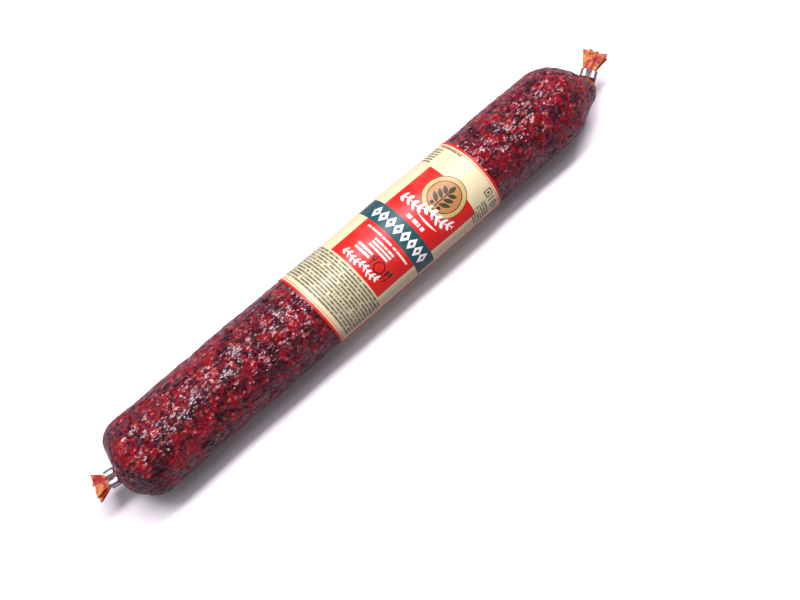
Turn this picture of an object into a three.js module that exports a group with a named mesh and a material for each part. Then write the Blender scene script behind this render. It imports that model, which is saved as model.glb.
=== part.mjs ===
// A whole cured sausage lying on its side: coarse meat filling in a thin see-through casing,
// gathered at both ends into pleated tails, each held by an aluminium clip, with a paper band
// wrapped and glued round the middle.
// Millimetres, +Z up, +X along the sausage from the left clip to the right one.

import * as THREE from "three";

// ---- Driving dimensions ----

const clipSpacing = 309.5; // between the middles of the two clips, along the middle line
const bodyRadius = 21; // outside the casing, at the left shoulder
const bodyTaper = 0.5; // how much smaller the radius is at the right shoulder
const restFlatDepth = 1.1; // how far the weight of the sausage has flattened its underside
const lumpHeight = 0.28; // how far the filling swells and dips under the casing

const leftDomeLength = 14; // from the left clip to the full radius: a blunt end
const leftDomeBluntness = 1.8;
const rightDomeLength = 26.5; // a longer, more conical end
const rightDomeBluntness = 1;

const leftNeckTurn = THREE.MathUtils.degToRad(9); // each neck leans towards +Y
const rightNeckTurn = THREE.MathUtils.degToRad(32);
const leftBendLength = 5;
const rightBendLength = 7;
const rightNeckShift = -4; // how far to the side the right neck starts
const rightShiftLength = 15;

const casingWall = 0.3;
const clearance = 0.3; // between pieces that touch
const neckRadius = 2.5; // half the width of the gathered casing inside a clip
const neckSquash = 0.55; // its thickness over its width
const channelRadius = 0.7; // the hole left down the middle of the gathers

const tailSquash = 0.42;
const pleatCount = 8;
const leftTail = { length: 7.5, mouthRadius: 6.3, wall: 1.0, pleat: 0.14, ragged: 1 };
const rightTail = { length: 10.6, mouthRadius: 5.8, wall: 1.0, pleat: 0.16, ragged: 0.9 };

const clipWidth = 8.8; // across the neck
const clipHeight = 4.3; // along the neck
const clipDepth = 6.4; // from the back of the strip to the top of its curled ends
const clipSlit = 0.5; // between the two ends
const clipCurl = 0.9; // the rounding of the ends where they meet
const clipShoulder = 1.7; // the rounding of its other four corners
const clipBevel = 0.25;

const labelStart = 119.7; // along the middle line, from the left clip
const labelLength = 106.7;
const labelTilt = 1.4; // how far askew the band sits: towards -X on the +Y side
const labelPaper = 0.3;
const lapWidth = 9; // where the end of the band is glued over its start
const lapAngle = THREE.MathUtils.degToRad(174); // round the body from +Y, over the top

const aroundBody = 40; // segments round the sausage
const bodyStep = 10; // the longest step along it

// ---- What follows from them ----

const axisHeight = bodyRadius - restFlatDepth;
const bodyStart = clipHeight / 2 + clearance; // the casing widens just behind each clip
const bodyEnd = clipSpacing - bodyStart;
const labelEnd = labelStart + labelLength;
const labelSeat = clearance + labelPaper; // how far the band stands off the casing
const seatSlope = 3; // the length in which the underside rises to its seat under the band

const mix = THREE.MathUtils.lerp;
const smooth = THREE.MathUtils.smoothstep;

// ---- The shape that the casing, the filling and the band share ----

// The middle line: straight along X, with an arc towards +Y into each neck.
function middleLine(along) {
  const rightBend = bodyEnd - rightBendLength;
  const leftBend = bodyStart + leftBendLength;
  let start = along;
  let length = 0;
  let bend = { length: 1, turn: 0, way: 1 };
  if (along > rightBend) {
    start = rightBend;
    length = along - rightBend;
    bend = { length: rightBendLength, turn: rightNeckTurn, way: 1 };
  } else if (along < leftBend) {
    start = leftBend;
    length = leftBend - along;
    bend = { length: leftBendLength, turn: leftNeckTurn, way: -1 };
  }
  const turned = bend.turn * Math.min(length / bend.length, 1);
  const straight = Math.max(length - bend.length, 0);
  const radius = bend.turn > 0 ? bend.length / bend.turn : 0;
  const forward = radius * Math.sin(turned) + straight * Math.cos(turned);
  const aside = radius * (1 - Math.cos(turned)) + straight * Math.sin(turned);
  const reached = bend.turn > 0 ? forward : length;
  const shift = rightNeckShift * smooth(along, bodyEnd - rightShiftLength, bodyEnd);
  return {
    point: new THREE.Vector3(start + bend.way * reached, shift + aside, axisHeight),
    side: new THREE.Vector3(-bend.way * Math.sin(turned), Math.cos(turned), 0),
    turn: bend.way * turned,
  };
}

// Slow swellings of the filling, which fade out towards both ends.
function lumps(along, angle) {
  const fade = smooth(along, bodyStart, bodyStart + 18) * smooth(clipSpacing - along, bodyStart, bodyStart + 18);
  const waves =
    Math.sin(along / 14 + 2 * angle + 0.6) +
    0.8 * Math.sin(along / 9.5 - angle + 2.1) +
    0.7 * Math.sin(along / 23 + 3 * angle + 4.0);
  return (lumpHeight * fade * waves) / 2;
}

// The underside lies at z = 0, and rises under the band by what the band takes up.
function underside(along) {
  const outside = Math.max(labelStart - along, along - labelEnd);
  const share = (seatSlope - outside) / (seatSlope - clearance);
  return labelSeat * THREE.MathUtils.clamp(share, 0, 1);
}

// The radius of the filled casing without its lumps.
function bodyRadiusAt(along) {
  const radius = mix(bodyRadius, bodyRadius - bodyTaper, (along - bodyStart) / (bodyEnd - bodyStart));
  const dome = (distance, length, bluntness) => {
    const share = THREE.MathUtils.clamp(distance / length, 0, 1);
    return (1 - (1 - share) ** 2) ** (1 / bluntness);
  };
  const full =
    dome(along - bodyStart, leftDomeLength, leftDomeBluntness) *
    dome(bodyEnd - along, rightDomeLength, rightDomeBluntness);
  return neckRadius + (radius - neckRadius) * full;
}

// A row of points along the outside of the filled body, closer together on the domes.
function bodyOutline() {
  const stations = [];
  const domeSteps = 9;
  for (let i = 0; i <= domeSteps; i++) {
    const share = 1 - Math.cos(((i / domeSteps) * Math.PI) / 2);
    stations.push(bodyStart + leftDomeLength * share, bodyEnd - rightDomeLength * share);
  }
  const inner = [bodyStart + leftDomeLength, labelStart - seatSlope, labelStart - clearance];
  inner.push(labelEnd + clearance, labelEnd + seatSlope, bodyEnd - rightDomeLength);
  for (let i = 1; i < inner.length; i++) {
    const steps = Math.ceil((inner[i] - inner[i - 1]) / bodyStep);
    for (let k = 1; k <= steps; k++) stations.push(mix(inner[i - 1], inner[i], k / steps));
  }
  const sorted = [...new Set(stations.map((a) => Number(a.toFixed(4))))].sort((a, b) => a - b);
  return sorted.map((along) => new THREE.Vector2(bodyRadiusAt(along), along));
}

// That outline moved inwards by a depth, square to itself, where it is wider than the least
// radius. The section goes from the flat neck to the round body over the start of each dome.
function bodyStations(depth, least) {
  const row = bodyOutline();
  const stations = row.map((point, i) => {
    const before = row[Math.max(i - 1, 0)];
    const after = row[Math.min(i + 1, row.length - 1)];
    const way = after.clone().sub(before).normalize();
    const fromEnd = Math.min(point.y - bodyStart, bodyEnd - point.y);
    return {
      radius: point.x - way.y * depth,
      along: point.y + way.x * depth,
      depth,
      squash: mix(neckSquash, 1, smooth(fromEnd, 0, 3)),
    };
  });
  return stations.filter((station) => station.radius > least);
}

// Turns a row of stations round the middle line. Each has its radius and place along the line,
// and says how far inside the skin it is, how flat the section is, and how deep its pleats are.
function wrap(stations, segments) {
  const row = stations.map((s) => new THREE.Vector2(s.radius, s.along));
  const geometry = new THREE.LatheGeometry(row, segments);
  const position = geometry.getAttribute("position");
  for (let i = 0; i < position.count; i++) {
    const station = stations[i % stations.length];
    const angle = (2 * Math.PI * Math.floor(i / stations.length)) / segments;
    const { depth = 0, squash = 1, pleat = 0, ragged = 0, lap = 0, tilt = 0 } = station;
    const notch = ragged * Math.sin(3 * angle + 1) * Math.cos(2 * angle);
    const along = station.along + notch - tilt * Math.cos(angle);
    const wave = 1 + pleat * Math.cos(pleatCount * angle);
    const swell = station.radius > 0 ? lumps(along, angle) : 0;
    const radius = station.radius * wave + swell + lap * lapCover(angle);
    const { point, side } = middleLine(along);
    const place = point.clone().addScaledVector(side, radius * Math.cos(angle));
    place.z += radius * squash * Math.sin(angle);
    place.z = Math.max(place.z, underside(station.along) + depth);
    position.setXYZ(i, place.x, place.y, place.z);
  }
  geometry.computeVertexNormals();
  return geometry;
}

// 1 where the end of the band lies over its start, and 0 elsewhere.
function lapCover(angle) {
  return Math.abs(angle - lapAngle) * bodyRadius < lapWidth / 2 ? 1 : 0;
}

// ---- The pieces ----

function piece(name, geometry, look) {
  const mesh = new THREE.Mesh(geometry, new THREE.MeshStandardMaterial(look));
  mesh.name = name;
  return mesh;
}

// The filling fills the casing from neck to neck, and ends just inside each one.
function meatFilling() {
  const stations = bodyStations(casingWall + clearance, 2 * neckRadius);
  const tip = (station, way) => ({ ...station, radius: 0, along: station.along + way * clearance });
  stations.unshift(tip(stations[0], -1));
  stations.push(tip(stations.at(-1), 1));
  return piece("meat_filling", wrap(stations, aroundBody), { color: 0x7d1a26, roughness: 0.55 });
}

// One gathered tail, from the clip out to its ragged mouth: first its outside, then back along
// its inside. way is -1 for the left end and 1 for the right.
function tailStations({ length, mouthRadius, wall, pleat, ragged }, clipMiddle, way) {
  const steps = 3;
  const clipFace = clipHeight / 2 + clearance;
  const at = (share, radius, extra) => ({
    radius,
    along: clipMiddle + way * (clipFace + length * share),
    squash: mix(neckSquash, tailSquash, share),
    pleat: pleat * share,
    ragged: ragged * share,
    ...extra,
  });
  const outside = [];
  const inside = [];
  for (let i = 0; i <= steps; i++) {
    const share = i / steps;
    const radius = mix(neckRadius, mouthRadius, share ** 0.8);
    outside.push(at(share, radius));
    if (i > 0) inside.push(at(share, Math.max(radius - wall, channelRadius)));
  }
  return { outside, inside: inside.reverse() };
}

// The casing is one tube of thin film. It follows the filling, gathers to a neck in each clip
// and flares again into a tail, with a fine channel left down the middle of each neck.
function casing() {
  const left = tailStations(leftTail, 0, -1);
  const right = tailStations(rightTail, clipSpacing, 1);
  const neck = (along, radius) => ({ radius, along, squash: neckSquash });
  const innerNeck = bodyStart + casingWall;
  const stations = [
    ...left.outside.reverse(),
    neck(bodyStart, neckRadius),
    ...bodyStations(0, neckRadius),
    neck(bodyEnd, neckRadius),
    ...right.outside,
    ...right.inside,
    neck(clipSpacing - innerNeck, channelRadius),
    ...bodyStations(casingWall, neckRadius).reverse(),
    neck(innerNeck, channelRadius),
    ...left.inside.reverse(),
  ];
  stations.push(stations[0]);
  return piece("casing", wrap(stations, aroundBody), { color: 0x6b1420, roughness: 0.22 });
}

// A strip of aluminium bent round the neck, its two ends curled over to meet above it.
function clip(name, along) {
  const half = clipWidth / 2;
  const low = -clipDepth / 2;
  const high = clipDepth / 2;
  const slit = clipSlit / 2;
  const holeWidth = neckRadius + clearance;
  const holeDepth = neckRadius * neckSquash + clearance;
  const slitAngle = Math.asin(slit / holeWidth);
  const quarter = Math.PI / 2;
  const outline = new THREE.Shape();
  outline.absarc(slit + clipCurl, high - clipCurl, clipCurl, 2 * quarter, quarter, true);
  outline.absarc(half - clipShoulder, high - clipShoulder, clipShoulder, quarter, 0, true);
  outline.absarc(half - clipShoulder, low + clipShoulder, clipShoulder, 0, -quarter, true);
  outline.absarc(clipShoulder - half, low + clipShoulder, clipShoulder, -quarter, -2 * quarter, true);
  outline.absarc(clipShoulder - half, high - clipShoulder, clipShoulder, 2 * quarter, quarter, true);
  outline.absarc(-slit - clipCurl, high - clipCurl, clipCurl, quarter, 0, true);
  outline.absellipse(0, 0, holeWidth, holeDepth, quarter + slitAngle, 5 * quarter - slitAngle, false, 0);
  const geometry = new THREE.ExtrudeGeometry(outline, {
    depth: clipHeight - 2 * clipBevel,
    bevelThickness: clipBevel,
    bevelSize: clipBevel,
    bevelOffset: -clipBevel,
    bevelSegments: 1,
    curveSegments: 8,
  });
  geometry.translate(0, 0, clipBevel - clipHeight / 2);
  // The strip lies level across the neck, and its slit faces up.
  const across = new THREE.Vector3(0, 1, 0);
  const up = new THREE.Vector3(0, 0, 1);
  geometry.applyMatrix4(new THREE.Matrix4().makeBasis(across, up, new THREE.Vector3(1, 0, 0)));
  const mesh = piece(name, geometry, { color: 0xc9ccd0, roughness: 0.25, metalness: 1 });
  const { point, turn } = middleLine(along);
  mesh.position.copy(point);
  mesh.rotation.z = turn;
  return mesh;
}

// The band follows the body at a small clearance, and is twice as thick along its glued lap.
function labelBand() {
  const steps = Math.ceil(labelLength / bodyStep);
  const inside = [];
  const outside = [];
  for (let i = 0; i <= steps; i++) {
    const along = mix(labelStart, labelEnd, i / steps);
    const radius = bodyRadiusAt(along) + clearance;
    const tilt = labelTilt;
    inside.push({ along, radius, tilt, depth: -clearance });
    outside.push({ along, radius: radius + labelPaper, tilt, depth: -labelSeat, lap: labelPaper });
  }
  const stations = [...outside, ...inside.reverse(), outside[0]];
  return piece("label_band", wrap(stations, aroundBody), { color: 0xf7f2cf, roughness: 0.5 });
}

// ---- The sausage, with the middle of its underside at the origin ----

const pieces = new THREE.Group();
pieces.add(meatFilling(), casing(), clip("left_clip", 0), clip("right_clip", clipSpacing), labelBand());

const extent = new THREE.Box3().setFromObject(pieces, true);
const middle = extent.getCenter(new THREE.Vector3());
pieces.position.set(-middle.x, -middle.y, -extent.min.z);

const sausage = new THREE.Group();
sausage.add(pieces);

export default sausage;
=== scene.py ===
import math

import bmesh
import bpy
from mathutils import Euler, Matrix, Vector, noise


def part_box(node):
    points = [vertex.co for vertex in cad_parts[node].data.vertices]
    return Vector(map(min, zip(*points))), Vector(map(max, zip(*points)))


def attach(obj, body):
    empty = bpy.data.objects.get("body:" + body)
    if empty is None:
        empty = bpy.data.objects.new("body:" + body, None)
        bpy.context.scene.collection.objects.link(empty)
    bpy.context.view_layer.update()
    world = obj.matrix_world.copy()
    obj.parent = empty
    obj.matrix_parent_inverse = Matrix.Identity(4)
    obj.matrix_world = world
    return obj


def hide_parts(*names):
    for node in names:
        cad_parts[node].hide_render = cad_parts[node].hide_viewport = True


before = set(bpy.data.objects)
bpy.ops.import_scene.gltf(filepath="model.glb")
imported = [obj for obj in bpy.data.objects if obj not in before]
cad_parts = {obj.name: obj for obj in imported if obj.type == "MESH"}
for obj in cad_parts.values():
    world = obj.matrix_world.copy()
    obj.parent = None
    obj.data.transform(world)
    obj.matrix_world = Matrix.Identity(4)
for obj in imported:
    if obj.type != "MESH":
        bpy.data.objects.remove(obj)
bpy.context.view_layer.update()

mm = 0.001

# The sizes that every piece shares, in millimetres and degrees.
# "along" is the distance from the left clip along the middle line, and angles run from +Y over the top.
sausage = {
    "radius": 21,
    "taper": 0.5,
    "restFlat": 1.1,  # how far the underside is flattened
    "lump": 0.28,
    "lumpFade": 18,  # how far from each clip the lumps reach their full height
    "lumpWaves": ((1, 14, 2, 0.6), (0.8, 9.5, -1, 2.1), (0.7, 23, 3, 4.0)),  # share, length, turns, phase
    "clipSpacing": 309.5,
    "clipHeight": 4.3,
    "clearance": 0.3,
    "leftDome": 14,
    "leftBluntness": 1.8,
    "rightDome": 26.5,
    "rightBluntness": 1,
    "leftTurn": 9,
    "rightTurn": 32,
    "leftBend": 5,
    "rightBend": 7,
    "rightShift": -4,
    "rightShiftLength": 15,
    "neckRadius": 2.5,
    "neckSquash": 0.55,
    "squashFade": 3,
    "bandStart": 119.7,
    "bandLength": 106.7,
    "bandTilt": 1.4,
    "bandSeat": 0.6,  # how far the underside rises under the band
    "seatSlope": 3,
}
axisHeight = sausage["radius"] - sausage["restFlat"]
bodyStart = sausage["clipHeight"] / 2 + sausage["clearance"]
bodyEnd = sausage["clipSpacing"] - bodyStart
bandEnd = sausage["bandStart"] + sausage["bandLength"]


def clamp(x, low=0.0, high=1.0):
    return max(low, min(high, x))


def smooth(x, start, end):
    t = clamp((x - start) / (end - start))
    return t * t * (3 - 2 * t)


def mix(a, b, t):
    return a + (b - a) * t


def middleLine(along):  # point, sideways direction and heading
    s = sausage
    start, length, bendLength, turn, way = along, 0, 1, 0, 1
    if along > bodyEnd - s["rightBend"]:
        start, bendLength, turn = bodyEnd - s["rightBend"], s["rightBend"], math.radians(s["rightTurn"])
        length = along - start
    elif along < bodyStart + s["leftBend"]:
        start, bendLength, turn = bodyStart + s["leftBend"], s["leftBend"], math.radians(s["leftTurn"])
        way = -1
        length = start - along
    turned = turn * min(length / bendLength, 1)
    straight = max(length - bendLength, 0)
    radius = bendLength / turn if turn else 0
    forward = radius * math.sin(turned) + straight * math.cos(turned) if turn else length
    aside = radius * (1 - math.cos(turned)) + straight * math.sin(turned)
    aside += s["rightShift"] * smooth(along, bodyEnd - s["rightShiftLength"], bodyEnd)
    point = Vector((start + way * forward, aside, axisHeight))
    return point, Vector((-way * math.sin(turned), math.cos(turned), 0)), way * turned


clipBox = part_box("left_clip")
toFrame = (clipBox[0] + clipBox[1]) / 2 / mm - middleLine(0)[0]  # from the middle line's own place


def bodyRadiusAt(along):
    s = sausage
    radius = mix(s["radius"], s["radius"] - s["taper"], (along - bodyStart) / (bodyEnd - bodyStart))
    left = 1 - (1 - clamp((along - bodyStart) / s["leftDome"])) ** 2
    right = 1 - (1 - clamp((bodyEnd - along) / s["rightDome"])) ** 2
    full = left ** (1 / s["leftBluntness"]) * right ** (1 / s["rightBluntness"])
    return s["neckRadius"] + (radius - s["neckRadius"]) * full


def lumps(along, angle):
    full = bodyStart + sausage["lumpFade"]
    fade = smooth(along, bodyStart, full) * smooth(bodyEnd + bodyStart - along, bodyStart, full)
    waves = 0
    for share, length, turns, phase in sausage["lumpWaves"]:
        waves += share * math.sin(along / length + turns * angle + phase)
    return sausage["lump"] * fade * waves / 2


def undersideAt(along):
    outside = max(sausage["bandStart"] - along, along - bandEnd)
    slope = sausage["seatSlope"]
    return sausage["bandSeat"] * clamp((slope - outside) / (slope - sausage["clearance"]))


def placeOn(along, radius, angle, squash=1.0, floor=0.0):  # a point round the middle line, in metres
    point, side, _ = middleLine(along)
    spot = point + side * (radius * math.cos(angle))
    spot.z = max(spot.z + radius * squash * math.sin(angle), floor)
    return (spot + toFrame) * mm


def roundsOf(bm, outline, steps):  # spins an outline of (along, radius) points once round X
    verts = [bm.verts.new((along, radius, 0)) for along, radius in outline]
    edges = [bm.edges.new(pair) for pair in zip(verts, verts[1:])]
    bmesh.ops.spin(
        bm, geom=verts + edges, cent=(0, 0, 0), axis=(1, 0, 0), angle=2 * math.pi, steps=steps, use_merge=True
    )
    bmesh.ops.remove_doubles(bm, verts=bm.verts, dist=1e-6)


def finishPiece(name, bm, material, replaced=(), *, sharp, recalc=True):
    if recalc:
        bmesh.ops.recalc_face_normals(bm, faces=bm.faces)
    mesh = bpy.data.meshes.new(name)
    bm.to_mesh(mesh)
    bm.free()
    mesh.polygons.foreach_set("use_smooth", [True] * len(mesh.polygons))
    mesh.set_sharp_from_angle(angle=math.radians(sharp))
    mesh.materials.append(material)
    piece = bpy.data.objects.new(name, mesh)
    bpy.context.scene.collection.objects.link(piece)
    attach(piece, "root")
    if replaced:
        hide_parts(*replaced)
    print(name, "made with", len(mesh.polygons), "faces")


# small helpers for the node trees

class Sheet:
    def __init__(self, tree):
        self.tree = tree

    def add(self, kind, inputs=None, **settings):
        node = self.tree.nodes.new("ShaderNode" + kind)
        for key, setting in settings.items():
            setattr(node, key, setting)
        for key, source in (inputs or {}).items():
            self.feed(node.inputs[key], source)
        return node

    def feed(self, socket, source):
        if isinstance(source, bpy.types.NodeSocket):
            self.tree.links.new(source, socket)
        elif isinstance(source, bpy.types.Node):
            self.tree.links.new(source.outputs[0], socket)
        else:
            socket.default_value = source

    def sum(self, operation, *values, clampIt=False):
        node = self.add("Math", operation=operation, use_clamp=clampIt)
        for socket, source in zip(node.inputs, values):
            self.feed(socket, source)
        return node.outputs[0]

    def vector(self, operation, *values):
        node = self.add("VectorMath", operation=operation)
        for socket, source in zip(node.inputs, values):
            self.feed(socket, source)
        return node

    def band(self, x, low, high):  # 1 between low and high
        return self.sum("COMPARE", x, (low + high) / 2, (high - low) / 2)

    def disc(self, distance, radius):
        return self.band(distance, -1, radius)

    def both(self, *masks):
        made = masks[0]
        for mask in masks[1:]:
            made = self.sum("MULTIPLY", made, mask)
        return made

    def either(self, *masks):
        made = masks[0]
        for mask in masks[1:]:
            made = self.sum("MAXIMUM", made, mask)
        return made

    def paint(self, under, over, mask):
        node = self.add("Mix", data_type="RGBA")
        self.feed(node.inputs["Factor"], mask)
        self.feed(node.inputs["A"], under)
        self.feed(node.inputs["B"], over)
        return node.outputs["Result"]

    def ramp(self, x, stops):
        node = self.add("ValToRGB", {"Fac": x})
        points = node.color_ramp.elements
        while len(points) < len(stops):
            points.new(0.5)
        for point, (position, colour) in zip(points, stops):
            point.position = position
            point.color = colour
        return node.outputs["Color"]

    def fade(self, x, low, high):
        limits = {"Value": x, "From Min": low, "From Max": high}
        return self.add("MapRange", limits, interpolation_type="SMOOTHSTEP").outputs["Result"]


def startMaterial(name, **constants):
    material = bpy.data.materials.new(name)
    material.use_nodes = True
    sheet = Sheet(material.node_tree)
    shader = material.node_tree.nodes["Principled BSDF"]
    for key, setting in constants.items():
        shader.inputs[key].default_value = setting
    return material, sheet, shader


def rgb(red, green, blue):
    def toLinear(c):
        c /= 255
        return c / 12.92 if c <= 0.04045 else ((c + 0.055) / 1.055) ** 2.4

    return (toLinear(red), toLinear(green), toLinear(blue), 1)


# camera, light and floor

cameraSetup = {
    "place": (-0.0898, -0.1255, 0.5138),
    "heading": 42.04,  # degrees, clockwise from +Y as seen from above
    "elevation": 74.66,  # degrees above the floor
    "lens": 47.45,
}
studio = {
    "keyPlace": (0.08, 0.2, 0.78),
    "keySize": (0.9, 0.5),
    "keyPower": 3.6,
    "keyColour": (0.96, 0.83, 1.0),
    "stripPlace": (0.12, 0.2, 0.75),  # a long lamp for the glints along the top
    "stripSize": (0.85, 0.13),
    "stripPower": 9.2,
    "stripColour": (1.0, 0.93, 0.99),
    "fillPlace": (-0.6, 0.55, 0.4),
    "fillSize": (0.5, 0.4),
    "fillPower": 0.8,
    "fillColour": (1, 1, 1),
    "sky": (0.92, 0.85, 0.94, 1),
    "skyStrength": 0.22,
    "backdropStrength": 0.95,  # how pale the room looks behind the floor
    "aimHeight": 0.02,
    "aimLimit": 0.3,  # a lamp further aside than this is turned towards the middle
    "floorSide": 4.0,
    "floorColour": (0.88, 0.88, 0.88, 1),
    "floorBounce": (0.38, 0.31, 0.35, 1),  # what the floor throws back at the sausage
}


def makeCamera(setup):
    camera = bpy.data.objects.new("camera", bpy.data.cameras.new("camera"))
    bpy.context.scene.collection.objects.link(camera)
    camera.data.lens = setup["lens"]
    camera.data.clip_start = 0.01
    camera.location = setup["place"]
    camera.rotation_euler = Euler((math.radians(90 - setup["elevation"]), 0, -math.radians(setup["heading"])))
    bpy.context.scene.camera = camera


def makeLamp(name, place, size, power, colour, setup):
    data = bpy.data.lights.new(name, "AREA")
    data.shape = "RECTANGLE"
    data.size, data.size_y = size
    data.energy = power
    data.color = colour
    lamp = bpy.data.objects.new(name, data)
    bpy.context.scene.collection.objects.link(lamp)
    lamp.location = place
    aside = -place[0] if abs(place[0]) > setup["aimLimit"] else 0
    toward = Vector((aside, -place[1], setup["aimHeight"] - place[2]))
    lamp.rotation_euler = toward.to_track_quat("-Z", "Y").to_euler()


def makeStudio(setup):
    for name in ("key", "strip", "fill"):
        place, size, power = setup[name + "Place"], setup[name + "Size"], setup[name + "Power"]
        makeLamp(name + "Light", place, size, power, setup[name + "Colour"], setup)
    world = bpy.data.worlds.new("studio")
    bpy.context.scene.world = world
    world.use_nodes = True
    background = world.node_tree.nodes["Background"]
    background.inputs["Color"].default_value = setup["sky"]
    sheet = Sheet(world.node_tree)
    seen = sheet.add("LightPath").outputs["Is Camera Ray"]
    extra = setup["backdropStrength"] - setup["skyStrength"]
    sheet.feed(background.inputs["Strength"], sheet.sum("MULTIPLY_ADD", seen, extra, setup["skyStrength"]))
    bm = bmesh.new()
    bmesh.ops.create_grid(bm, x_segments=1, y_segments=1, size=setup["floorSide"] / 2)
    mesh = bpy.data.meshes.new("floor")
    bm.to_mesh(mesh)
    bm.free()
    material = bpy.data.materials.new("floorPaint")
    material.use_nodes = True
    shader = material.node_tree.nodes["Principled BSDF"]
    sheet = Sheet(material.node_tree)
    seen = sheet.add("LightPath").outputs["Is Camera Ray"]
    sheet.feed(shader.inputs["Base Color"], sheet.paint(setup["floorBounce"], setup["floorColour"], seen))
    shader.inputs["Roughness"].default_value = 0.9
    mesh.materials.append(material)
    floor = bpy.data.objects.new("floor", mesh)
    bpy.context.scene.collection.objects.link(floor)


makeCamera(cameraSetup)
makeStudio(studio)
bpy.context.scene.view_settings.view_transform = "Standard"
print("camera, light and floor set")


# the marbled meat pattern and the crinkles of the film, as node groups

def newGroup(name, inputs, outputs):
    group = bpy.data.node_groups.new(name, "ShaderNodeTree")
    for label, kind, start in inputs:
        socket = group.interface.new_socket(label, in_out="INPUT", socket_type=kind)
        if start is not None:
            socket.default_value = start
    for label, kind in outputs:
        group.interface.new_socket(label, in_out="OUTPUT", socket_type=kind)
    sheet = Sheet(group)
    return group, sheet, group.nodes.new("NodeGroupInput"), group.nodes.new("NodeGroupOutput")


meatLook = {
    "deep": rgb(30, 1, 8),
    "crimson": rgb(68, 2, 14),
    "bright": rgb(130, 4, 12),
    "fatPink": rgb(196, 122, 110),
    "fatOrange": rgb(168, 72, 42),
    "grainSize": 2.3,
    "fatSize": 2.4,
    "patchSize": 7.5,
    "warp": (2.8, 2.8, 2.8),  # how far the pattern is pulled about, in mm
    "perMetre": (1000, 1000, 1000),
}
crinkle = {
    "drift": (2.2, 2.2, 2.2),  # unevenness of the facets' places
    "ripple": 0.16,
    "finerSize": 0.55,  # the finer facets against the large ones
}
middleGrey = (0.5, 0.5, 0.5)  # the mean of a noise or cell colour


def makeMeatGroup(look):
    group, sheet, given, result = newGroup(
        "groundMeat",
        [("Fat Amount", "NodeSocketFloat", 0.25), ("Fat Softness", "NodeSocketFloat", 0.3)],
        [("Color", "NodeSocketColor"), ("Fat", "NodeSocketFloat"), ("Grain", "NodeSocketFloat")],
    )
    coords = sheet.add("TexCoord").outputs["Object"]
    place = sheet.add("Mapping", {"Vector": coords, "Scale": look["perMetre"]}).outputs[0]
    wobble = sheet.add("TexNoise", {"Vector": place, "Scale": 0.55, "Detail": 2.0}).outputs["Color"]
    wobble = sheet.vector("SUBTRACT", wobble, middleGrey).outputs[0]
    wobble = sheet.vector("MULTIPLY", wobble, look["warp"]).outputs[0]
    warped = sheet.vector("ADD", place, wobble).outputs[0]
    patchScale = 1 / look["patchSize"]
    patches = sheet.add("TexNoise", {"Vector": place, "Scale": patchScale, "Detail": 3.0}).outputs[0]
    grain = sheet.add("TexVoronoi", {"Vector": warped, "Scale": 1 / look["grainSize"]})
    tone = sheet.add("SeparateColor", {"Color": grain.outputs["Color"]}).outputs["Red"]
    mixed = sheet.sum("ADD", sheet.sum("MULTIPLY", tone, 0.3), sheet.sum("MULTIPLY", patches, 0.8))
    base = sheet.ramp(mixed, [(0.38, look["deep"]), (0.54, look["crimson"]), (0.7, look["bright"])])
    fat = sheet.add("TexVoronoi", {"Vector": warped, "Scale": 1 / look["fatSize"]})
    chance = sheet.add("SeparateColor", {"Color": fat.outputs["Color"]})
    chosen = sheet.sum("LESS_THAN", chance.outputs["Green"], given.outputs["Fat Amount"])
    edge = sheet.sum("ADD", 0.18, given.outputs["Fat Softness"])
    speck = sheet.both(chosen, sheet.fade(fat.outputs["Distance"], edge, 0.12))
    fatColour = sheet.paint(look["fatPink"], look["fatOrange"], chance.outputs["Blue"])
    uneven = sheet.sum("ADD", 0.2, sheet.sum("MULTIPLY", chance.outputs["Red"], 0.6))
    strength = sheet.sum("MULTIPLY", speck, uneven)
    sheet.feed(result.inputs["Color"], sheet.paint(base, fatColour, strength))
    sheet.feed(result.inputs["Fat"], speck)
    sheet.feed(result.inputs["Grain"], tone)
    return group


def makeCrinkleGroup():  # small flat facets, each tilted its own way
    group, sheet, given, result = newGroup(
        "filmCrinkles",
        [("Size", "NodeSocketFloat", 2.2), ("Stretch", "NodeSocketFloat", 1.5)],
        [("Height", "NodeSocketFloat")],
    )
    coords = sheet.add("TexCoord").outputs["Object"]
    scale = sheet.sum("DIVIDE", 1000, given.outputs["Size"])
    along = sheet.sum("DIVIDE", scale, given.outputs["Stretch"])
    scaling = sheet.add("CombineXYZ", {"X": along, "Y": scale, "Z": scale}).outputs[0]
    place = sheet.vector("MULTIPLY", coords, scaling).outputs[0]
    drift = sheet.add("TexNoise", {"Vector": place, "Scale": 0.5, "Detail": 1.0}).outputs["Color"]
    drift = sheet.vector("MULTIPLY", drift, crinkle["drift"]).outputs[0]
    place = sheet.vector("ADD", place, drift).outputs[0]
    cells = sheet.add("TexVoronoi", {"Vector": place, "Scale": 1.0})
    tilt = sheet.vector("SUBTRACT", cells.outputs["Color"], middleGrey).outputs[0]
    inside = sheet.vector("SUBTRACT", place, cells.outputs["Position"]).outputs[0]
    facet = sheet.vector("DOT_PRODUCT", tilt, inside).outputs["Value"]
    ripple = sheet.add("TexNoise", {"Vector": place, "Scale": 0.8, "Detail": 0.0}).outputs[0]
    sheet.feed(result.inputs["Height"], sheet.sum("MULTIPLY_ADD", ripple, crinkle["ripple"], facet))
    return group


meatGroup = makeMeatGroup(meatLook)
crinkleGroup = makeCrinkleGroup()


def placeGroup(sheet, group, **values):
    node = sheet.add("Group", node_tree=group)
    for key, setting in values.items():
        sheet.feed(node.inputs[key], setting)
    return node


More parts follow.
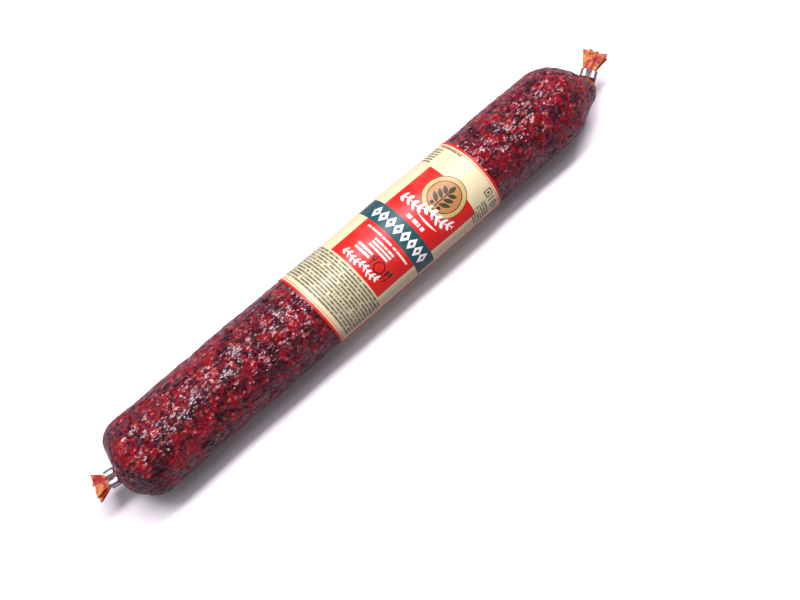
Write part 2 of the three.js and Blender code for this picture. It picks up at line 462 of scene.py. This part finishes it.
def crinkleNormal(sheet, shader, size, stretch, depth, finer=0.0):
    folds = placeGroup(sheet, crinkleGroup, Size=size, Stretch=stretch).outputs["Height"]
    bump = sheet.add("Bump", {"Height": folds, "Distance": depth * mm, "Strength": 1.0})
    if finer:
        finerSize = size * crinkle["finerSize"]
        small = placeGroup(sheet, crinkleGroup, Size=finerSize, Stretch=stretch).outputs["Height"]
        bump = sheet.add("Bump", {"Height": small, "Distance": finer * mm, "Strength": 1.0, "Normal": bump})
    sheet.feed(shader.inputs["Normal"], bump.outputs[0])


# the casing over the meat

skin = {
    "rounds": 176,
    "step": 0.75,  # along the body, in mm
    "finerSteps": ((2, 0.25), (7, 0.5)),  # nearer to a neck than this, the step is this share
    "bandMargin": 5,  # the unevenness starts to fade this far from the band
    "bandFade": 3,
    "swell": 0.42,  # slow unevenness of the filling
    "swellSize": 11,
    "grain": 0.28,  # lumps of meat and fat under the film
    "grainSize": 3.1,
    "fineGrainSize": 1.5,
    "fineGrainShift": Vector((9, 4, 2)),
    "foldDepth": 0.5,  # gathers next to each clip
    "foldReach": 15,
    "foldCount": 17,
    "foldPhases": (0.7, 2.9),  # at the left and the right clip
    "foldDrift": 1.1,
    "foldDriftSize": 13,
    "foldUnevenSize": 6,
    "sharp": 80,
    "leftAmber": (0.0125, 0.0095),  # shares of the length where the film is bare of meat
    "rightAmber": (0.97, 0.99),
    "paintedSheenRange": (0.44, 0.78),
    "paintedSheenColour": rgb(140, 70, 96),  # painted lilac sheen of the film, in random patches over the meat
    "paintedSheen": 0.4,
    "gatherColour": rgb(150, 78, 30),
    "crinkleSize": 1.55,
    "crinkleStretch": 1.5,
    "crinkleDepth": 1.15,
    "finerDepth": 0.14,
}


def skinMaterial(look):
    material, sheet, shader = startMaterial(
        "casingOverMeat",
        **{
            "Roughness": 0.12,
            "IOR": 1.42,
            "Sheen Weight": 0.03,
            "Sheen Roughness": 0.35,
            "Sheen Tint": (0.86, 0.74, 0.86, 1),
        },
    )
    meat = placeGroup(sheet, meatGroup, **{"Fat Amount": 0.42, "Fat Softness": 0.34})
    coords = sheet.add("TexCoord").outputs["Object"]
    # random patches of painted lilac sheen, mixed into the meat colour
    paintedSheen = sheet.add("TexNoise", {"Vector": coords, "Scale": 620.0, "Detail": 3.0}).outputs[0]
    paintedSheenShare = sheet.sum("MULTIPLY", sheet.fade(paintedSheen, *look["paintedSheenRange"]), look["paintedSheen"])
    colour = sheet.paint(meat.outputs["Color"], look["paintedSheenColour"], paintedSheenShare)
    wrap = sheet.add("SeparateXYZ", {"Vector": sheet.add("UVMap", uv_map="UVMap").outputs[0]})
    fromLeft = sheet.fade(wrap.outputs["Y"], *look["leftAmber"])
    fromRight = sheet.fade(wrap.outputs["Y"], *look["rightAmber"])
    colour = sheet.paint(colour, look["gatherColour"], sheet.either(fromLeft, fromRight))
    sheet.feed(shader.inputs["Base Color"], colour)
    size, stretch, depth = look["crinkleSize"], look["crinkleStretch"], look["crinkleDepth"]
    crinkleNormal(sheet, shader, size, stretch, depth, look["finerDepth"])
    return material


def skinBump(along, angle):
    s = skin
    spot = Vector((along, sausage["radius"] * math.cos(angle), sausage["radius"] * math.sin(angle)))
    bandEdge = sausage["bandStart"] - s["bandMargin"]
    under = smooth(along, bandEdge, bandEdge + s["bandFade"])
    under *= smooth(bandEnd + s["bandMargin"] - along, 0, s["bandFade"])
    swell = s["swell"] * noise.noise(spot / s["swellSize"])
    grain = s["grain"] * noise.noise(spot / s["grainSize"])
    grain += 0.5 * s["grain"] * noise.noise(spot / s["fineGrainSize"] + s["fineGrainShift"])
    height = (swell + grain) * (1 - under)
    fromNeck = min(along - bodyStart, bodyEnd - along)
    if fromNeck < s["foldReach"]:
        phase = s["foldPhases"][0 if along < sausage["bandStart"] else 1]
        drift = s["foldDrift"] * noise.noise(spot / s["foldDriftSize"] + Vector((phase, 0, 0)))
        gather = math.cos(s["foldCount"] * angle + 5 * drift + phase)
        fade = smooth(s["foldReach"] - fromNeck, 0, s["foldReach"]) * smooth(fromNeck, -1, 3)
        height += s["foldDepth"] * gather * fade * (0.6 + noise.noise(spot / s["foldUnevenSize"]))
    return height


def makeSkin():
    outline = []
    along = -bodyStart
    while along < bodyEnd + 2 * bodyStart:
        inside = clamp(along, bodyStart, bodyEnd)
        outline.append((along, bodyRadiusAt(inside)))
        nearNeck = min(abs(along - bodyStart), abs(along - bodyEnd))
        finer = [share for reach, share in skin["finerSteps"] if nearNeck < reach]
        along += skin["step"] * min(finer, default=1)
    bm = bmesh.new()
    roundsOf(bm, outline, skin["rounds"])
    uv = bm.loops.layers.uv.new("UVMap")
    for face in bm.faces:
        for loop in face.loops:
            spot = loop.vert.co
            turn = math.atan2(spot.z, spot.y) / (2 * math.pi) % 1
            loop[uv].uv = (turn, clamp(spot.x / sausage["clipSpacing"]))
    for vert in bm.verts:
        along, angle = vert.co.x, math.atan2(vert.co.z, vert.co.y)
        radius = math.hypot(vert.co.y, vert.co.z)
        fromNeck = min(along - bodyStart, bodyEnd - along)
        squash = mix(sausage["neckSquash"], 1, smooth(fromNeck, 0, sausage["squashFade"]))
        if fromNeck > 0:
            radius += lumps(along, angle % (2 * math.pi)) + skinBump(along, angle)
        vert.co = placeOn(along, radius, angle, squash, undersideAt(along))
    ends = [edge for edge in bm.edges if edge.is_boundary]
    bmesh.ops.holes_fill(bm, edges=ends, sides=0)
    finishPiece("casing_skin", bm, skinMaterial(skin), ["casing"], sharp=skin["sharp"])


makeSkin()


# the gathered tails

tail = {
    "rounds": 128,
    "steps": 18,
    "inClip": 1.2,  # how far each tail starts inside its clip
    "flare": 0.8,
    "film": 0.45,
    "leastRadius": 0.5,
    "pleatDepth": 0.3,
    "pleatWaves": ((0.5, 5, 1), (0.32, 9, 2.3), (0.22, 16, 1.7)),  # share, count, share of the seed
    "fineDepth": 0.05,
    "fineCount": 23,
    "edgeSize": 2.2,
    "edgePleat": 0.35,
    "squash": 0.5,
    "sharp": 75,
    "crinkleSize": 1.1,
    "crinkleStretch": 2.0,
    "crinkleDepth": 0.25,
    "amber": rgb(178, 90, 32),
    "pale": rgb(218, 152, 82),
    "red": rgb(146, 14, 10),
    "redRange": (0.53, 0.6),
    "brown": rgb(106, 42, 16),
}
leftTail = {
    "start": 0, "way": -1, "length": 7.5, "mouth": 6.3, "slant": -1.2, "ragged": 1.5, "seed": 3.0,
    "lean": 0,
}
rightTail = {
    "start": sausage["clipSpacing"], "way": 1, "length": 12.8, "mouth": 5.9, "slant": 0.6, "ragged": 1.3,
    "seed": 8.0, "lean": -1.5,
}


def tailMaterial(look):
    material, sheet, shader = startMaterial(
        "gatheredFilm",
        **{
            "Roughness": 0.45,
            "IOR": 1.38,
            "Subsurface Weight": 0.2,
            "Subsurface Radius": (1.0, 0.45, 0.2),
            "Subsurface Scale": 0.002,
        },
    )
    coords = sheet.add("TexCoord").outputs["Object"]
    tone = sheet.add("TexNoise", {"Vector": coords, "Scale": 330.0, "Detail": 3.0}).outputs[0]
    colour = sheet.ramp(tone, [(0.34, look["brown"]), (0.48, look["amber"]), (0.68, look["pale"])])
    blotches = {"Vector": coords, "Scale": 190.0, "Detail": 2.0, "Roughness": 0.4}
    spots = sheet.add("TexNoise", blotches).outputs[0]
    colour = sheet.paint(colour, look["red"], sheet.fade(spots, *look["redRange"]))
    sheet.feed(shader.inputs["Base Color"], colour)
    crinkleNormal(sheet, shader, look["crinkleSize"], look["crinkleStretch"], look["crinkleDepth"])
    return material


def pleatsAt(angle, seed):  # an uneven row of gathers, from -1 to 1
    height = 0
    for share, count, shift in tail["pleatWaves"]:
        height += share * math.sin(count * angle + shift * seed)
    return height


def makeTail(name, size, material):
    bm = bmesh.new()
    face = bodyStart - tail["inClip"]
    shares = [i / tail["steps"] for i in range(tail["steps"] + 1)]
    outside = [(share, mix(sausage["neckRadius"], size["mouth"], share ** tail["flare"])) for share in shares]
    inside = [
        (share, max(radius - tail["film"], tail["leastRadius"])) for share, radius in reversed(outside[2:])
    ]
    outline = [(share * size["length"], radius) for share, radius in outside + inside]
    roundsOf(bm, outline, tail["rounds"])
    for vert in bm.verts:
        share, angle = vert.co.x / size["length"], math.atan2(vert.co.z, vert.co.y)
        radius = math.hypot(vert.co.y, vert.co.z)
        wave = pleatsAt(angle, size["seed"])
        fine = tail["fineDepth"] * math.sin(tail["fineCount"] * angle + size["seed"])
        radius *= 1 + tail["pleatDepth"] * share**0.7 * wave + fine * share
        spot = Vector((tail["edgeSize"] * math.cos(angle), tail["edgeSize"] * math.sin(angle), size["seed"]))
        edge = size["ragged"] * noise.noise(spot)
        out = vert.co.x + share**2 * (edge + size["slant"] * math.cos(angle) + tail["edgePleat"] * wave)
        along = size["start"] + size["way"] * (face + out)
        vert.co = placeOn(along, radius, angle, mix(sausage["neckSquash"], tail["squash"], share))
        vert.co.y += size["lean"] * mm * share**1.5
    ends = [edge for edge in bm.edges if edge.is_boundary]
    bmesh.ops.holes_fill(bm, edges=ends, sides=0)
    finishPiece(name, bm, material, sharp=tail["sharp"])


filmMaterial = tailMaterial(tail)
makeTail("left_tail", leftTail, filmMaterial)
makeTail("right_tail", rightTail, filmMaterial)


# the aluminium clips

clip = {
    "width": 8.8,
    "depth": 6.4,
    "slit": 0.5,
    "curl": 1.65,  # rounding of the two ends where they meet
    "shoulder": 1.9,
    "bevel": 0.42,
    "bevelSteps": 4,
    "neckGap": 0.05,
    "arcSteps": 9,
    "sharp": 35,
    "metal": rgb(186, 189, 195),
    "worn": rgb(132, 135, 142),
    "relief": 0.03,
}


def clipMaterial(look):
    material, sheet, shader = startMaterial("clipMetal", **{"Metallic": 1.0})
    coords = sheet.add("TexCoord").outputs["Object"]
    drawn = sheet.add("Mapping", {"Vector": coords, "Scale": (400, 2600, 2600)}).outputs[0]
    lines = sheet.add("TexNoise", {"Vector": drawn, "Scale": 1.0, "Detail": 3.0}).outputs[0]
    scuffs = sheet.add("TexNoise", {"Vector": coords, "Scale": 700.0, "Detail": 4.0}).outputs[0]
    wornParts = sheet.fade(scuffs, 0.5, 0.75)
    sheet.feed(shader.inputs["Base Color"], sheet.paint(look["metal"], look["worn"], wornParts))
    sheet.feed(shader.inputs["Roughness"], sheet.sum("ADD", 0.18, sheet.sum("MULTIPLY", lines, 0.26)))
    relief = sheet.sum("ADD", lines, scuffs)
    bump = sheet.add("Bump", {"Height": relief, "Distance": look["relief"] * mm, "Strength": 1.0})
    sheet.feed(shader.inputs["Normal"], bump.outputs[0])
    return material


def arcOf(centre, radius, start, end, steps):
    turns = [math.radians(mix(start, end, i / steps)) for i in range(steps + 1)]
    wide, tall = radius if isinstance(radius, tuple) else (radius, radius)
    return [(centre[0] + wide * math.cos(t), centre[1] + tall * math.sin(t)) for t in turns]


def makeClip(name, along, material):
    c = clip
    half, top, slit = c["width"] / 2, c["depth"] / 2, c["slit"] / 2
    wide = sausage["neckRadius"] + c["neckGap"]
    tall = sausage["neckRadius"] * sausage["neckSquash"] + c["neckGap"]
    gap = math.degrees(math.asin(slit / wide))
    n = c["arcSteps"]
    side, curl = half - c["shoulder"], slit + c["curl"]
    outline = arcOf((curl, top - c["curl"]), c["curl"], 180, 90, n)
    outline += arcOf((side, top - c["shoulder"]), c["shoulder"], 90, 0, n)
    outline += arcOf((side, c["shoulder"] - top), c["shoulder"], 0, -90, n)
    outline += arcOf((-side, c["shoulder"] - top), c["shoulder"], -90, -180, n)
    outline += arcOf((-side, top - c["shoulder"]), c["shoulder"], 180, 90, n)
    outline += arcOf((-curl, top - c["curl"]), c["curl"], 90, 0, n)
    outline += arcOf((0, 0), (wide, tall), 90 + gap, 450 - gap, 4 * n)
    bm = bmesh.new()
    verts = [bm.verts.new((-sausage["clipHeight"] / 2, y, z)) for y, z in outline]
    bmesh.ops.remove_doubles(bm, verts=verts, dist=1e-4)
    face = bm.faces.new(list(bm.verts))
    made = bmesh.ops.extrude_face_region(bm, geom=[face])
    moved = [g for g in made["geom"] if isinstance(g, bmesh.types.BMVert)]
    bmesh.ops.translate(bm, verts=moved, vec=(sausage["clipHeight"], 0, 0))
    rims = [edge for edge in bm.edges if abs(edge.verts[0].co.x - edge.verts[1].co.x) < 1e-6]
    bmesh.ops.bevel(
        bm, geom=rims, offset=c["bevel"], offset_type="OFFSET", affect="EDGES", segments=c["bevelSteps"],
        profile=0.5, material=-1, clamp_overlap=True,
    )
    point, _, turn = middleLine(along)
    bmesh.ops.rotate(bm, verts=bm.verts, cent=(0, 0, 0), matrix=Matrix.Rotation(turn, 3, "Z"))
    bmesh.ops.translate(bm, verts=bm.verts, vec=point + toFrame)
    bmesh.ops.scale(bm, verts=bm.verts, vec=(mm, mm, mm))
    finishPiece(name + "_strip", bm, material, [name], sharp=c["sharp"])


metal = clipMaterial(clip)
makeClip("left_clip", 0, metal)
makeClip("right_clip", sausage["clipSpacing"], metal)


# the printed paper band; across runs round the body and up runs along it, both in mm

band = {
    "columns": 210,
    "rows": 96,
    "middle": 104.3,  # where the print is centred, in degrees round from +Y
    "edge": 31.0,  # from there to the glued end
    "lap": 9.0,
    "lift": 0.38,  # from the casing to the outside of the paper
    "lapRise": 0.26,
    "lapRamp": (9, 8),  # the rise starts this far past the lap and takes this long
    "edgeRise": 0.3,  # the glued end stands off a little
    "edgeReach": 2.5,
    "waveLength": 17,
    "waveRound": 2.2,
    "thickness": 0.16,
    "floor": 0.02,
    "sharp": 60,
    "cream": rgb(206, 200, 157),
    "red": rgb(194, 19, 11),
    "salmon": rgb(220, 140, 108),
    "teal": rgb(8, 72, 78),
    "white": rgb(232, 232, 224),
    "ink": rgb(48, 60, 46),
    "sprig": rgb(44, 44, 26),
    "dark": rgb(38, 14, 12),
    "gold": rgb(186, 162, 98),
    "tan": rgb(166, 118, 64),
    "worn": rgb(206, 198, 168),
}
bandRadius = sausage["radius"] + sausage["bandSeat"]
uvSpan = 160  # millimetres across the whole UV square
uvShift = 125  # puts the whole band inside the square

# A box is (start, end) across and (low, high) up. A row of dashes is a box, its pitch, how much of
# the pitch is inked and how long a word is. A vine is its start, end, pitch and leaf size.
printing = {
    "innerLine": (1.9, 2.5),  # from each edge of the band
    "rim": 1.3,
    "endRim": 1.8,
    "panel": (-18.3, 18.3, 26.6, 90.3),
    "strip": (-28.2, 26.6, 50.2, 60.9),
    "inkRows": (
        ((-46, 25.5, 4.0, 26.0), 1.69, 0.66, 2.9),
        ((-27, -10, 103.0, 104.2), 1.2, 0.9, 1.9),
        ((-31, -21.5, 91.6, 102.2), 1.77, 0.56, 3.4),
        ((15.5, 26.5, 87.2, 97.6), 1.5, 0.56, 2.6),
    ),
    "whiteRows": (
        ((-5.2, 6.2, 62.6, 65.0), 2.4, 0.85, 2.1),
        ((-14.5, 14.5, 46.6, 48.3), 1.7, 0.6, 2.4),
        ((-6.5, 6.5, 39.8, 45.6), 1.93, 0.58, 3.0),
        ((-10.5, -1.2, 34.6, 39.0), 2.2, 0.6, 2.6),
    ),
    "vines": (
        ((-15.2, 68.6), (15.4, 75.4), 3.4, 1.0),
        ((-13.0, 30.2), (10.5, 31.2), 2.6, 0.72),
    ),
    "flourish": {
        "start": -3, "end": 11.5, "level": 68.0, "slope": 0.06, "wave": -0.9, "wavelength": 30, "width": 1.1,
    },
    "ringMark": (21.8, 101.4),
    "squareMark": (13.6, 101.4),
    "markLine": (1.5, 2.1),
    "markDot": 0.7,
    "markBars": ((17.2, 17.9, 99.3, 103.5), (25.2, 25.9, 99.3, 103.5)),
    "badge": (0.2, 82.8),
    "badgeRadius": 11.2,
    "badgeRings": ((10.85, 11.2), (8.2, 8.65)),
    "badgeMiddle": 8.2,
    "leafPairs": ((-4.0, 3.2, 6.2), (-1.1, 2.8, 5.6), (1.8, 2.4, 5.0)),  # rise, reach aside, length
    "berries": (-2.3, 2.3),
    "lozengePitch": 5.0,
    "lozengeLevel": 55.5,
    "lozengeHalf": (2.3, 3.7),
    "lozengeHollow": 0.36,
    "chainEnd": 20.0,
    "plate": (5.9, 36.0),
    "plateLine": (2.5, 3.2),
    "tines": (0.05, 0.9, 1.75),
    "handles": (
        (0.6, 1.2, 32.6, 37.0),
        (-0.17, 1.97, 36.4, 37.1),
        (10.4, 10.95, 32.6, 38.0),
        (12.75, 13.3, 32.6, 37.0),
    ),
    "blades": (((10.9, 37.2), 4.6, 1.5), ((13.02, 37.8), 3.6, 2.1)),  # centre, length, width
}


def makeBand(material):
    around = 2 * math.pi * bandRadius + band["lap"]
    bm = bmesh.new()
    bmesh.ops.create_grid(bm, x_segments=band["columns"], y_segments=band["rows"], size=0.5)
    uv = bm.loops.layers.uv.new("UVMap")
    for face in bm.faces:
        for loop in face.loops:
            across = band["edge"] - (0.5 - loop.vert.co.x) * around
            up = (loop.vert.co.y + 0.5) * sausage["bandLength"]
            loop[uv].uv = ((across + uvShift) / uvSpan, up / uvSpan)
    for vert in bm.verts:
        back = (0.5 - vert.co.x) * around  # how far from the glued end
        up = (vert.co.y + 0.5) * sausage["bandLength"]
        angle = math.radians(band["middle"]) + (band["edge"] - back) / bandRadius
        along = sausage["bandStart"] + up - sausage["bandTilt"] * math.cos(angle)
        rampStart, rampLength = band["lapRamp"]
        rise = band["lapRise"] * smooth(band["lap"] + rampStart - back, 0, rampLength)
        rise += band["edgeRise"] * smooth(band["edgeReach"] - back, 0, band["edgeReach"])
        turned = (band["waveRound"] * math.cos(angle), band["waveRound"] * math.sin(angle))
        spot = Vector((along / band["waveLength"], *turned))
        lift = band["lift"] + rise + 0.07 * noise.noise(spot) + 0.05 * noise.noise(spot * 3.1)
        radius = bodyRadiusAt(along) + lumps(along, angle % (2 * math.pi)) + lift
        vert.co = placeOn(along, radius, angle, 1, band["floor"] + band["thickness"])
    bmesh.ops.recalc_face_normals(bm, faces=bm.faces)
    middle = min(bm.faces, key=lambda f: abs(f.calc_center_median().x) + abs(f.calc_center_median().y))
    if middle.normal.z * (middle.calc_center_median().z - 0.02) < 0:
        bmesh.ops.reverse_faces(bm, faces=bm.faces)
    bmesh.ops.solidify(bm, geom=bm.faces, thickness=band["thickness"] * mm)
    sharp = band["sharp"]
    finishPiece("paper_band", bm, material, ["label_band"], sharp=sharp, recalc=False)


def leafMask(sheet, place, centre, angle, length, width):
    moved = sheet.vector("SUBTRACT", place, (centre[0], centre[1], 0)).outputs[0]
    turned = {"Vector": moved, "Angle": -math.radians(angle)}
    turned = sheet.add("VectorRotate", turned, rotation_type="Z_AXIS").outputs[0]
    split = sheet.add("SeparateXYZ", {"Vector": turned})
    x, y = split.outputs["X"], split.outputs["Y"]
    reach = sheet.sum("ABSOLUTE", sheet.sum("DIVIDE", x, length / 2))
    bulge = sheet.sum("SUBTRACT", 1.0, sheet.sum("POWER", reach, 2.0))
    return sheet.sum("LESS_THAN", sheet.sum("ABSOLUTE", y), sheet.sum("MULTIPLY", bulge, width / 2))


def strokeMask(sheet, across, up, start, end, level, slope, wave, wavelength, width):
    x = sheet.sum("SUBTRACT", across, start)
    turn = sheet.sum("MULTIPLY", x, 2 * math.pi / wavelength)
    swing = sheet.sum("MULTIPLY", sheet.sum("SINE", turn), wave)
    line = sheet.sum("ADD", sheet.sum("MULTIPLY_ADD", x, slope, level), swing)
    taper = sheet.sum("SINE", sheet.sum("MULTIPLY", x, math.pi / (end - start)))
    offLine = sheet.sum("ABSOLUTE", sheet.sum("SUBTRACT", up, line))
    thin = sheet.sum("MULTIPLY", taper, width / 2)
    return sheet.both(sheet.band(across, start, end), sheet.sum("LESS_THAN", offLine, thin))


def dashRows(sheet, across, up, box, pitch, fill, word):
    start, end, low, high = box
    row = sheet.sum("DIVIDE", sheet.sum("SUBTRACT", up, low), pitch)
    number = sheet.sum("FLOOR", row)
    within = sheet.band(sheet.sum("FRACT", row), 0.5 - fill / 2, 0.5 + fill / 2)
    drift = sheet.sum("MULTIPLY_ADD", number, 7.31, sheet.sum("MULTIPLY", across, 0.45))
    uneven = {"W": drift, "Scale": 1.0, "Detail": 1.0}
    uneven = sheet.add("TexNoise", uneven, noise_dimensions="1D").outputs[0]
    words = sheet.sum("MULTIPLY_ADD", uneven, 2.2, sheet.sum("DIVIDE", across, word))
    words = sheet.sum("MULTIPLY_ADD", number, 0.37, words)
    inked = sheet.sum("GREATER_THAN", sheet.sum("FRACT", words), 0.17)
    fine = sheet.sum("MULTIPLY_ADD", number, 5.1, sheet.sum("MULTIPLY", across, 2.6))
    marks = sheet.add("TexNoise", {"W": fine, "Scale": 1.0, "Detail": 0.0}, noise_dimensions="1D").outputs[0]
    solid = sheet.sum("ADD", 0.5, sheet.sum("MULTIPLY", marks, 0.75), clampIt=True)
    area = sheet.both(sheet.band(across, start, end), sheet.band(up, low, high))
    return sheet.both(area, within, inked, solid)


def vineMask(sheet, place, start, end, pitch, size):  # a stem with pairs of small leaves
    length = math.hypot(end[0] - start[0], end[1] - start[1])
    angle = math.atan2(end[1] - start[1], end[0] - start[0])
    moved = sheet.vector("SUBTRACT", place, (*start, 0)).outputs[0]
    turned = sheet.add("VectorRotate", {"Vector": moved, "Angle": -angle}, rotation_type="Z_AXIS")
    split = sheet.add("SeparateXYZ", {"Vector": turned.outputs[0]})
    run = split.outputs["X"]
    swing = sheet.sum("SINE", sheet.sum("MULTIPLY", run, 2 * math.pi / (4 * pitch)))
    stem = sheet.sum("MULTIPLY", swing, 0.9 * size)
    off = sheet.sum("ABSOLUTE", sheet.sum("SUBTRACT", split.outputs["Y"], stem))
    fromLeaf = sheet.sum("SUBTRACT", sheet.sum("FRACT", sheet.sum("DIVIDE", run, pitch)), 0.5)
    local = sheet.sum("MULTIPLY", fromLeaf, pitch)
    rise = sheet.sum("SUBTRACT", off, 1.45 * size)
    lengthwise = sheet.sum("ADD", sheet.sum("MULTIPLY", local, 0.64), sheet.sum("MULTIPLY", rise, 0.77))
    sideways = sheet.sum("SUBTRACT", sheet.sum("MULTIPLY", rise, 0.64), sheet.sum("MULTIPLY", local, 0.77))
    leaf = sheet.sum(
        "ADD",
        sheet.sum("POWER", sheet.sum("DIVIDE", lengthwise, 1.75 * size), 2.0),
        sheet.sum("POWER", sheet.sum("DIVIDE", sideways, 0.72 * size), 2.0),
    )
    shape = sheet.either(sheet.sum("LESS_THAN", leaf, 1.0), sheet.sum("LESS_THAN", off, 0.3 * size))
    return sheet.both(shape, sheet.band(run, 0, length))


def boxMask(sheet, across, up, box):
    start, end, low, high = box
    return sheet.both(sheet.band(across, start, end), sheet.band(up, low, high))


def paperMaterial(look):
    material, sheet, shader = startMaterial(
        "printedPaper", **{"Roughness": 0.5, "Coat Weight": 0.1, "Coat Roughness": 0.3, "IOR": 1.45}
    )
    mapUv = sheet.add("UVMap", uv_map="UVMap").outputs[0]
    mapping = {"Vector": mapUv, "Scale": (uvSpan, uvSpan, 1), "Location": (-uvShift, 0, 0)}
    place = sheet.add("Mapping", mapping).outputs[0]
    split = sheet.add("SeparateXYZ", {"Vector": place})
    across, up = split.outputs["X"], split.outputs["Y"]
    height = sausage["bandLength"]
    lay = printing

    def boxAt(box):
        return boxMask(sheet, across, up, box)

    def distanceTo(x, y):
        return sheet.vector("DISTANCE", place, (x, y, 0)).outputs["Value"]

    # paper, borders, panel and teal strip
    colour = look["cream"]
    low, high = lay["innerLine"]
    inner = sheet.either(sheet.band(up, low, high), sheet.band(up, height - high, height - low))
    colour = sheet.paint(colour, look["salmon"], inner)
    rim = sheet.either(
        sheet.band(up, -1, lay["rim"]),
        sheet.band(up, height - lay["rim"], height + 1),
        sheet.band(across, band["edge"] - lay["endRim"], band["edge"] + 1),
    )
    colour = sheet.paint(colour, look["red"], rim)
    colour = sheet.paint(colour, look["red"], boxAt(lay["panel"]))
    colour = sheet.paint(colour, look["teal"], boxAt(lay["strip"]))

    # rows of plain dashes where small print goes
    small = sheet.either(*(dashRows(sheet, across, up, *row) for row in lay["inkRows"]))
    colour = sheet.paint(colour, look["ink"], small)

    # two plain marks at the far edge: a ring with a dot and a square frame
    ring = distanceTo(*lay["ringMark"])
    squareX, squareY = lay["squareMark"]
    square = sheet.either(
        sheet.sum("ABSOLUTE", sheet.sum("SUBTRACT", across, squareX)),
        sheet.sum("ABSOLUTE", sheet.sum("SUBTRACT", up, squareY)),
    )
    lines = [sheet.band(shape, *lay["markLine"]) for shape in (ring, square)]
    dots = [sheet.disc(shape, lay["markDot"]) for shape in (ring, square)]
    marks = sheet.either(*lines, *dots, *(boxAt(box) for box in lay["markBars"]))
    colour = sheet.paint(colour, look["ink"], marks)

    # the round badge with a bay sprig
    badgeX, badgeY = lay["badge"]
    badge = distanceTo(badgeX, badgeY)
    colour = sheet.paint(colour, look["gold"], sheet.disc(badge, lay["badgeRadius"]))
    rings = sheet.either(*(sheet.band(badge, *line) for line in lay["badgeRings"]))
    colour = sheet.paint(colour, look["dark"], rings)
    colour = sheet.paint(colour, look["tan"], sheet.disc(badge, lay["badgeMiddle"]))
    leaves = [leafMask(sheet, place, (badgeX, badgeY + 5.0), 90, 5.2, 2.6)]
    for rise, reach, length in lay["leafPairs"]:
        for way in (-1, 1):
            spot = (badgeX + way * reach, badgeY + rise + 1.0)
            leaves.append(leafMask(sheet, place, spot, 90 - way * 56, length, 2.3))
    stem = boxAt((badgeX - 0.3, badgeX + 0.3, badgeY - 7.0, badgeY + 4))
    berries = [sheet.disc(distanceTo(badgeX + aside, badgeY - 6.2), 1.0) for aside in lay["berries"]]
    colour = sheet.paint(colour, look["sprig"], sheet.either(*leaves, stem))
    colour = sheet.paint(colour, look["dark"], sheet.either(*berries))

    # white ornament: leafy vines on the panel, lozenges on the teal strip, dashes for small lines
    pitch, end = lay["lozengePitch"], lay["chainEnd"]
    halfWide, halfTall = lay["lozengeHalf"]
    run = sheet.sum("DIVIDE", sheet.sum("ADD", across, end), pitch)
    local = sheet.sum("SUBTRACT", sheet.sum("FRACT", run), 0.5)
    wide = sheet.sum("MULTIPLY", sheet.sum("ABSOLUTE", local), pitch / halfWide)
    fromLevel = sheet.sum("ABSOLUTE", sheet.sum("SUBTRACT", up, lay["lozengeLevel"]))
    lozenge = sheet.sum("ADD", wide, sheet.sum("DIVIDE", fromLevel, halfTall))
    hollow = sheet.sum("LESS_THAN", lozenge, lay["lozengeHollow"])
    frameLine = sheet.sum("SUBTRACT", sheet.sum("LESS_THAN", lozenge, 1.0), hollow)
    white = sheet.either(
        sheet.both(frameLine, sheet.band(across, -end, end)),
        *(vineMask(sheet, place, *vine) for vine in lay["vines"]),
        strokeMask(sheet, across, up, **lay["flourish"]),
        *(dashRows(sheet, across, up, *row) for row in lay["whiteRows"]),
    )
    colour = sheet.paint(colour, look["white"], white)

    # fork, plate, knife and spoon
    cutlery = sheet.either(
        sheet.band(distanceTo(*lay["plate"]), *lay["plateLine"]),
        *(boxAt((x - 0.22, x + 0.22, 37.0, 39.3)) for x in lay["tines"]),
        *(boxAt(box) for box in lay["handles"]),
        *(leafMask(sheet, place, centre, 90, length, width) for centre, length, width in lay["blades"]),
    )
    colour = sheet.paint(colour, look["dark"], cutlery)

    # faint unevenness of the paper
    fibre = sheet.add("TexNoise", {"Vector": mapUv, "Scale": 900.0, "Detail": 3.0}).outputs[0]
    shade = sheet.add("TexNoise", {"Vector": mapUv, "Scale": 14.0, "Detail": 2.0}).outputs[0]
    shaded = sheet.sum("MULTIPLY", sheet.fade(shade, 0.5, 0.9), 0.12)
    colour = sheet.paint(colour, look["worn"], shaded)
    sheet.feed(shader.inputs["Base Color"], colour)
    bump = sheet.add("Bump", {"Height": fibre, "Distance": 0.02 * mm, "Strength": 0.6})
    sheet.feed(shader.inputs["Normal"], bump.outputs[0])
    return material


makeBand(paperMaterial(band))


# the filling keeps its CAD shape

def fillingMaterial():
    material, sheet, shader = startMaterial(
        "cutMeat", **{"Roughness": 0.5, "Coat Weight": 0.2, "Coat Roughness": 0.4}
    )
    meat = placeGroup(sheet, meatGroup, **{"Fat Amount": 0.42, "Fat Softness": 0.22})
    sheet.feed(shader.inputs["Base Color"], meat.outputs["Color"])
    height = sheet.sum("ADD", meat.outputs["Grain"], meat.outputs["Fat"])
    bump = sheet.add("Bump", {"Height": height, "Distance": 0.15 * mm, "Strength": 0.6})
    sheet.feed(shader.inputs["Normal"], bump.outputs[0])
    return material


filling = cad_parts["meat_filling"]
filling.data.materials.clear()
filling.data.materials.append(fillingMaterial())
print("filling painted")
